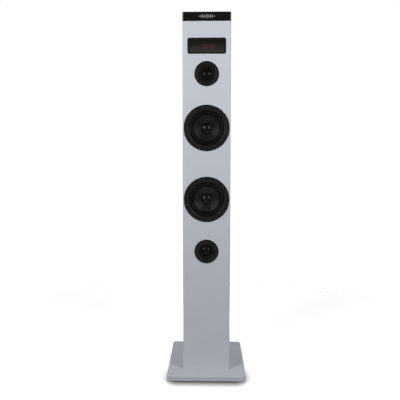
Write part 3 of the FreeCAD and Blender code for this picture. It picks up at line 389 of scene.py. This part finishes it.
def cable_sheath():
    f = Finish("cable_sheath", (0.045, 0.045, 0.045), 0.5)
    f.tones(f.noise(250.0, 3.0), 0.2)
    f.set("Roughness", f.band(f.noise(120.0), 0.3, 0.7, 0.42, 0.6))
    f.bump([(f.noise(1.0, 2.0, 0.5, f.stretched(600.0, 600.0, 150.0)), 0.00005)])
    return f


def ferrite():
    f = Finish("ferrite", (0.045, 0.045, 0.05), 0.65, metallic=0.2)
    f.tones(f.noise(600.0, 5.0, 0.7), 0.3)
    f.set("Roughness", f.band(f.noise(300.0), 0.3, 0.7, 0.55, 0.75))
    f.bump([(f.noise(1400.0, 3.0), 0.00006)])
    return f


def copper_winding(name, centre):
    """Lacquered wire, one turn after another along the former."""
    f = Finish(name, (0.72, 0.36, 0.16), 0.32, metallic=1.0)
    _, y, _ = f.axes(centre)
    turns = f.waves(y, 0.00028)
    f.tones(turns, 0.25)
    f.set("Roughness", f.band(f.noise(500.0), 0.3, 0.7, 0.26, 0.4))
    f.bump([(turns, 0.00006)])
    return f


def paper_cone(name, centre):
    """Coated pulp: fibres that run outwards, fine turned rings and a soft satin."""
    f = Finish(name, (0.0075, 0.0075, 0.0075), 0.55, shine=0.16)
    radius, angle = f.polar(centre)
    along, around = f.sum("MULTIPLY", radius, 420.0), f.sum("MULTIPLY", angle, 26.0)
    fibres = f.noise(1.0, 4.0, 0.65, f.vector(along, around, 0.0))
    pulp = f.noise(1100.0, 4.0, 0.6)
    f.tones(f.sum("MULTIPLY", f.sum("ADD", fibres, pulp), 0.5), 0.22)
    f.set("Roughness", f.band(fibres, 0.3, 0.7, 0.42, 0.6))
    f.bump([(f.waves(radius, 0.0011), 0.000012), (pulp, 0.00004), (fibres, 0.00003)])
    return f


def roll_rubber(name, centre):
    """Butyl rubber with faint mould rings."""
    f = Finish(name, (0.003, 0.003, 0.0032), 0.55, shine=0.1)
    radius, _ = f.polar(centre)
    f.tones(f.noise(220.0, 4.0), 0.2)
    f.set("Roughness", f.band(f.noise(90.0, 3.0), 0.3, 0.7, 0.42, 0.6))
    f.bump([(f.waves(radius, 0.0009), 0.00001), (f.noise(1800.0, 3.0), 0.00003)])
    return f


def dust_cap_finish(name, centre):
    """A pressed cap with a faint turned sheen."""
    f = Finish(name, (0.003, 0.003, 0.0034), 0.34, shine=0.2)
    radius, _ = f.polar(centre)
    f.tones(f.noise(260.0, 4.0), 0.18)
    f.set("Roughness", f.band(f.noise(140.0, 3.0), 0.3, 0.7, 0.32, 0.44))
    f.bump([(f.waves(radius, 0.0006), 0.000006), (f.noise(1700.0, 3.0), 0.00002)])
    return f


def woven(name, colour, pitch, depth, rough, shine=0.5):
    """Threads over and under, seen from the front."""
    f = Finish(name, colour, rough, shine=shine)
    x, _, z = f.axes()
    over = f.sum("MULTIPLY", f.waves(x, pitch), f.waves(z, pitch))
    next_x, next_z = (f.waves(f.sum("ADD", place, pitch / 2), pitch) for place in (x, z))
    under = f.sum("MULTIPLY", next_x, next_z)
    threads = f.sum("MAXIMUM", over, under)
    f.tones(f.sum("MULTIPLY", f.sum("ADD", threads, f.noise(300.0, 3.0)), 0.5), 0.2)
    f.set("Roughness", f.band(threads, 0.0, 1.0, rough + 0.1, rough - 0.05))
    f.bump([(threads, depth), (f.noise(2500.0, 2.0), depth * 0.4)])
    return f


PLATED, PLATED_ROUGH = (0.75, 0.74, 0.7), 0.25


def with_metal(f, masks):
    """The same finish, but plated metal where any mask is 1."""
    mask = masks[0]
    for other in masks[1:]:
        mask = f.sum("MAXIMUM", mask, other)
    f.set("Base Color", f.mix(mask, f.linked("Base Color"), PLATED))
    f.set("Metallic", mask)
    f.set("Roughness", f.node("Mix", {0: mask, 2: f.linked("Roughness"), 3: PLATED_ROUGH}).outputs[0])
    return f


MASK_EDGE_MM = 0.05


def near_axis(f, x_mm, z_mm, radius_mm):
    """1 within radius of the front-to-back line at x, z."""
    radius, _ = f.polar((x_mm * MM, 0, z_mm * MM))
    return f.band(radius, radius_mm * MM, (radius_mm + MASK_EDGE_MM) * MM, 1.0, 0.0)


def past(f, side, limit_mm):
    """1 where the front-to-back place is behind (side 1) or ahead of (side -1) limit."""
    _, y, _ = f.axes()
    limit = side * limit_mm * MM
    return f.band(f.sum("MULTIPLY", y, side), limit - MASK_EDGE_MM * MM, limit)


def inlet_finish():
    """Black moulding with plated pins in its slot and plated blades inside the cabinet."""
    f = satin_plastic("mains_inlet_plastic")
    centre = middle("mains_inlet") / MM
    half_pitch, pin_radius, slot_floor, blades_end = 4.3, 1.26, 74.6, 67.4
    left, right = (near_axis(f, centre.x + side * half_pitch, centre.z, pin_radius) for side in (-1, 1))
    pins = f.sum("MULTIPLY", f.sum("MAXIMUM", left, right), past(f, 1, slot_floor))
    return with_metal(f, [pins, past(f, -1, blades_end)])


def usb_finish():
    """Plated shell round a black tongue."""
    f = satin_plastic("usb_tongue")
    low, high = (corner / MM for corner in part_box("usb_port"))
    x, _, z = f.axes(((low.x + high.x) / 2 * MM, 0, (low.z + high.z) / 2 * MM))
    mouth_half_x, mouth_half_z, back_wall = 0.0060, 0.0028, 1.45
    sides = f.band(f.sum("ABSOLUTE", x), mouth_half_x, mouth_half_x + 0.0001)
    flats = f.band(f.sum("ABSOLUTE", z), mouth_half_z, mouth_half_z + 0.0001)
    return with_metal(f, [sides, flats, past(f, -1, low.y + back_wall)])


def jack_finish():
    """Black moulding with a plated rim in its bore."""
    f = satin_plastic("aux_jack_plastic")
    low, high = (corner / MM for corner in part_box("aux_jack"))
    rim_radius = 2.5
    return with_metal(f, [near_axis(f, (low.x + high.x) / 2, (low.z + high.z) / 2, rim_radius)])


FINISHES = {
    "silver_paint": painted_board(),
    "raw_board": fibreboard(),
    "zinc_steel": metal("zinc_steel", (0.62, 0.63, 0.65), 0.35),
    "black_steel": metal("black_steel", (0.035, 0.035, 0.037), 0.4),
    "foot_rubber": moulded_rubber(),
    "gloss_black": gloss_plastic(),
    "satin_black": satin_plastic(),
    "button_plastic": satin_plastic("button_plastic", (0.016, 0.016, 0.017), 0.32, 0.00001),
    "circuit_board": circuit_board(),
    "emblem_print": emblem_print(),
    "smoked_pane": smoked_pane(),
    "red_light": red_light(),
    "black_plate": powder_coat(),
    "transformer_steel": transformer_steel(),
    "bright_metal": metal("bright_metal", (0.74, 0.73, 0.71), 0.25, (900.0, 60.0, 900.0)),
    "cable_sheath": cable_sheath(),
    "ferrite": ferrite(),
    "dome_black": woven("dome_black", (0.003, 0.003, 0.0035), 0.00042, 0.00003, 0.3, 0.12),
    "spider_cloth": woven("spider_cloth", (0.42, 0.30, 0.11), 0.0009, 0.00012, 0.7),
}
WOOFERS = ("upper_woofer", "lower_woofer")
TWEETERS = ("upper_tweeter", "lower_tweeter")
NODE_FINISHES = {}
for driver in WOOFERS:
    centre = middle(f"{driver}_cone")
    NODE_FINISHES[f"{driver}_cone"] = paper_cone(f"{driver}_paper", centre)
    NODE_FINISHES[f"{driver}_dust_cap"] = dust_cap_finish(f"{driver}_cap", centre)
    NODE_FINISHES[f"{driver}_surround"] = roll_rubber(f"{driver}_rubber", centre)
for driver in TWEETERS:
    NODE_FINISHES[f"{driver}_faceplate"] = tweeter_face(f"{driver}_face", middle(f"{driver}_faceplate"))
for driver in WOOFERS + TWEETERS:
    NODE_FINISHES[f"{driver}_voice_coil"] = copper_winding(f"{driver}_wire", middle(f"{driver}_voice_coil"))

NODE_FINISHES["mains_inlet"] = inlet_finish()
NODE_FINISHES["usb_port"] = usb_finish()
NODE_FINISHES["aux_jack"] = jack_finish()

for node_name, node in nodes.items():
    finish = NODE_FINISHES.get(node_name) or FINISHES[node.material_slots[0].material.name]
    node.material_slots[0].material = finish.material


# ---- pieces --------------------------------------------------------------------------------
def mesh_piece(name, points, faces, finish):
    mesh = bpy.data.meshes.new(name)
    mesh.from_pydata(points, [], faces)
    made = link(name, mesh)
    shape = bmesh.new()
    shape.from_mesh(mesh)
    bmesh.ops.recalc_face_normals(shape, faces=shape.faces)
    shape.to_mesh(mesh)
    shape.free()
    mesh.materials.append(finish.material)
    return made


def turned(name, outline, centre, finish, steps=180):
    """A closed outline of (radius, y) turned about the front-to-back axis through centre."""
    points, faces, count = [], [], len(outline)
    for i in range(steps):
        turn = 2 * math.pi * i / steps
        for radius, y in outline:
            points.append((centre.x + radius * math.cos(turn), y, centre.z + radius * math.sin(turn)))
    for i in range(steps):
        for j in range(count):
            k, after = (j + 1) % count, (i + 1) % steps
            faces.append((i * count + j, i * count + k, after * count + k, after * count + j))
    made = mesh_piece(name, points, faces, finish)
    made.data.shade_smooth()
    return made


def flexes(piece):
    """Bakes the piece's placement into its mesh.
    """
    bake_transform(piece)


def arc(middle_r, middle_y, reach, start_deg, end_deg, steps):
    turns = [math.radians(start_deg + (end_deg - start_deg) * i / steps) for i in range(steps + 1)]
    return [(middle_r + reach * math.cos(t), middle_y - reach * math.sin(t)) for t in turns]


def make_surround(driver):
    """A half-roll with a bead on its rim and a glue bead on the cone's lip."""
    low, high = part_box(f"{driver}_surround")
    centre = (low + high) / 2
    rim = (high.x - low.x) / 2
    back = high.y
    thick = 0.8 * MM
    flat = back - thick
    glued_rim, roll_width, glued_lip = 6.0 * MM, 8.0 * MM, 4.5 * MM
    roll_out = rim - glued_rim
    roll_in = roll_out - roll_width
    lip = roll_in - glued_lip
    roll_mid, reach = (roll_out + roll_in) / 2, (roll_out - roll_in) / 2
    front_face = [(rim, flat + 0.2 * MM), (rim - 0.25 * MM, flat)]
    front_face += [(roll_out + 0.6 * MM, flat)]
    front_face += arc(roll_mid, flat, reach, 4, 176, 34)
    front_face += [(roll_in - 0.5 * MM, flat), (lip + 2.6 * MM, flat)]
    front_face += arc(lip + 1.9 * MM, flat, 0.35 * MM, 10, 170, 8)
    front_face += [(lip + 0.9 * MM, flat), (lip + 0.25 * MM, flat + 0.05 * MM), (lip, flat + 0.3 * MM)]
    back_face = [(lip, back), (roll_in + thick, back)]
    back_face += arc(roll_mid, back, reach - thick, 172, 8, 30)
    back_face += [(rim, back)]
    made = turned(f"{driver}_roll", front_face + back_face, centre, NODE_FINISHES[f"{driver}_surround"])
    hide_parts(f"{driver}_surround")
    flexes(made)


def make_spider(driver):
    """A corrugated disc of treated cloth."""
    low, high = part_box(f"{driver}_spider")
    centre = (low + high) / 2
    rim, coil = (high.x - low.x) / 2, 13.3 * MM
    thick, wave_count, steps = 0.4 * MM, 4, 96
    collar_width, shelf_width, height_spared = 1.5 * MM, 4.5 * MM, 0.5 * MM
    collar, shelf = coil + collar_width, rim - shelf_width
    half_wave = (high.y - low.y - height_spared) / 2
    line = []
    for i in range(steps + 1):
        radius = coil + (rim - coil) * i / steps
        share = min(max((radius - collar) / (shelf - collar), 0.0), 1.0)
        line.append((radius, centre.y + half_wave * math.sin(2 * math.pi * wave_count * share)))
    outline = [(r, y - thick / 2) for r, y in line] + [(r, y + thick / 2) for r, y in reversed(line)]
    made = turned(f"{driver}_cloth", outline, centre, FINISHES["spider_cloth"], 144)
    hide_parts(f"{driver}_spider")
    flexes(made)


for driver in WOOFERS:
    make_surround(driver)
    make_spider(driver)


def stroke(points, width):
    """Outline of a line of even width with square ends."""
    left, right = [], []
    for i, point in enumerate(points):
        before, after = points[max(i - 1, 0)], points[min(i + 1, len(points) - 1)]
        along = Vector((after[0] - before[0], after[1] - before[1])).normalized()
        left.append((point[0] - along.y * width / 2, point[1] + along.x * width / 2))
        right.append((point[0] + along.y * width / 2, point[1] - along.x * width / 2))
    return left + right[::-1]


def ring_part(radius, width, start_deg, end_deg, steps=40):
    turns = [math.radians(start_deg + (end_deg - start_deg) * i / steps) for i in range(steps + 1)]
    return stroke([(radius * math.cos(t), radius * math.sin(t)) for t in turns], width)


def frame_line(x0, x1, y0, y1, corner, width):
    """A rounded rectangle's line, as two halves that meet."""
    corners = [(x1 - corner, y1 - corner, 0), (x0 + corner, y1 - corner, 90),
               (x0 + corner, y0 + corner, 180), (x1 - corner, y0 + corner, 270)]
    path = []
    for cx, cy, start in corners:
        for i in range(9):
            turn = math.radians(start + 90 * i / 8)
            path.append((cx + corner * math.cos(turn), cy + corner * math.sin(turn)))
    half = len(path) // 2
    return [stroke(path[:half + 1], width), stroke(path[half:] + path[:1], width)]


PRINT_HEIGHT = 0.06 * MM


def printed(name, outlines, place, right, up, body):
    """Flat shapes, in millimetres on the plane through place, in raised silver print."""
    right, up = Vector(right), Vector(up)
    out = right.cross(up)
    points, faces = [], []
    for shape in outlines:
        first, count = len(points), len(shape)
        for lift in (0.0, PRINT_HEIGHT):
            points += [tuple(place + right * (a * MM) + up * (b * MM) + out * lift) for a, b in shape]
        faces.append(tuple(range(first, first + count)))
        faces.append(tuple(range(first + count, first + 2 * count)))
        for i in range(count):
            after = (i + 1) % count
            faces.append((first + i, first + after, first + count + after, first + count + i))
    made = mesh_piece(name, points, faces, FINISHES["emblem_print"])
    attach(made, body)
    return made


def triangle(x, size, way=1):
    return [(x, -size), (x + way * size * 1.6, 0.0), (x, size)]


def bar(x, width, half):
    return [(x, -half), (x + width, -half), (x + width, half), (x, half)]


ICONS = {
    "power": [ring_part(2.3, 0.5, 125, 415), [(x, y + 2.1) for x, y in bar(-0.25, 0.5, 1.0)]],
    "source": [ring_part(2.4, 0.5, 40, 320), triangle(-0.2, 1.1), bar(-2.0, 2.0, 0.25)],
    "previous": [bar(-2.6, 0.5, 1.5), triangle(0.2, 1.4, -1), triangle(2.6, 1.4, -1)],
    "play": [triangle(-2.7, 1.5), bar(0.6, 0.6, 1.5), bar(1.9, 0.6, 1.5)],
    "next": [triangle(-2.6, 1.4), triangle(-0.2, 1.4), bar(2.1, 0.5, 1.5)],
}
for icon, outlines in ICONS.items():
    low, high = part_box(f"{icon}_button")
    top = Vector(((low.x + high.x) / 2, (low.y + high.y) / 2, high.z))
    printed(f"{icon}_icon", outlines, top, (1, 0, 0), (0, 1, 0), f"{icon}_button")


def rocker_mark(name, outlines, half):
    """On the upper (half 1) or lower (half -1) slope of the rocker as it stands at rest, tilted to off."""
    low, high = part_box("power_rocker")
    across = (low.x + high.x) / 2
    pivot_y, pivot_z, turn = 83.3, 82.0, math.radians(10)
    hollow, slope_rise, slope_run, mark_run = 2.6, 2.6, 10.2, 5.2
    slope = math.atan2(slope_rise, slope_run)
    along, depth = mark_run * half, hollow + mark_run * slope_rise / slope_run
    place = Vector((across, (pivot_y + depth * math.cos(turn) + along * math.sin(turn)) * MM,
                    (pivot_z - depth * math.sin(turn) + along * math.cos(turn)) * MM))
    lean = half * slope + turn
    printed(name, outlines, place, (-1, 0, 0), (0, math.sin(lean), math.cos(lean)), "power_rocker")


rocker_mark("rocker_on_mark", [bar(-0.35, 0.7, 1.8)], 1)
rocker_mark("rocker_off_mark", [ring_part(1.6, 0.6, 0, 180, 20), ring_part(1.6, 0.6, 180, 360, 20)], -1)


def plate_prints():
    """Thin frames round the sockets."""
    low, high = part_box("amplifier_plate")
    place = Vector(((low.x + high.x) / 2, high.y, (low.z + high.z) / 2))
    shapes, corner, width = [], 3.0, 0.5
    for edges in ((-41, -7, -49, -18), (11, 37, -49, -18), (-35, -9, 9, 35), (8, 34, 9, 35)):
        shapes += frame_line(*edges, corner, width)
    printed("plate_prints", shapes, place, (-1, 0, 0), (0, 0, 1), "cabinet")


plate_prints()

# ---- floor ---------------------------------------------------------------------------------
def make_floor():
    """A white floor that fades into the white behind it well away from the object.

    A soft contact shadow is drawn in front of the base. It fades out along the base's sides.
    """
    mesh = bpy.data.meshes.new("floor")
    reach = 3.0
    mesh.from_pydata([(-reach, -reach, 0), (reach, -reach, 0), (reach, reach, 0), (-reach, reach, 0)],
                     [], [(0, 1, 2, 3)])
    made = link("floor", mesh)
    made.visible_diffuse = False
    pale, paler = (2.1, 2.1, 2.1), (2.16, 2.16, 2.16)
    f = Finish("floor_white", pale, 0.8, shine=0.1)
    x, y, _ = f.axes()
    shadow_half_x, shadow_front_y, shadow_reach, shadow_depth = 0.079, -0.108, 0.062, 0.92
    beside = f.sum("MAXIMUM", f.sum("SUBTRACT", f.sum("ABSOLUTE", x), shadow_half_x), 0.0)
    ahead = f.sum("MAXIMUM", f.sum("SUBTRACT", shadow_front_y, y), 0.0)
    away = f.sum("SQRT", f.sum("ADD", f.sum("MULTIPLY", beside, beside), f.sum("MULTIPLY", ahead, ahead)))
    whole_y, gone_y = -0.09, -0.01
    fore = f.band(y, whole_y, gone_y, 1.0, 0.0)
    dim = f.sum("MULTIPLY", f.band(away, 0.0, shadow_reach, shadow_depth, 0.0), fore)
    f.set("Base Color", f.mix(dim, f.mix(f.noise(3.0), pale, paler), (0.0, 0.0, 0.0)))
    f.set("Roughness", f.band(f.noise(8.0), 0.3, 0.7, 0.75, 0.85))
    f.bump([(f.noise(40.0), 0.0002)])
    radius = f.sum("SQRT", f.sum("ADD", f.sum("MULTIPLY", x, x), f.sum("MULTIPLY", y, y)))
    fade_start, fade_end = 0.5, 1.1
    f.set("Alpha", f.band(radius, fade_start, fade_end, 1.0, 0.0))
    mesh.materials.append(f.material)


make_floor()
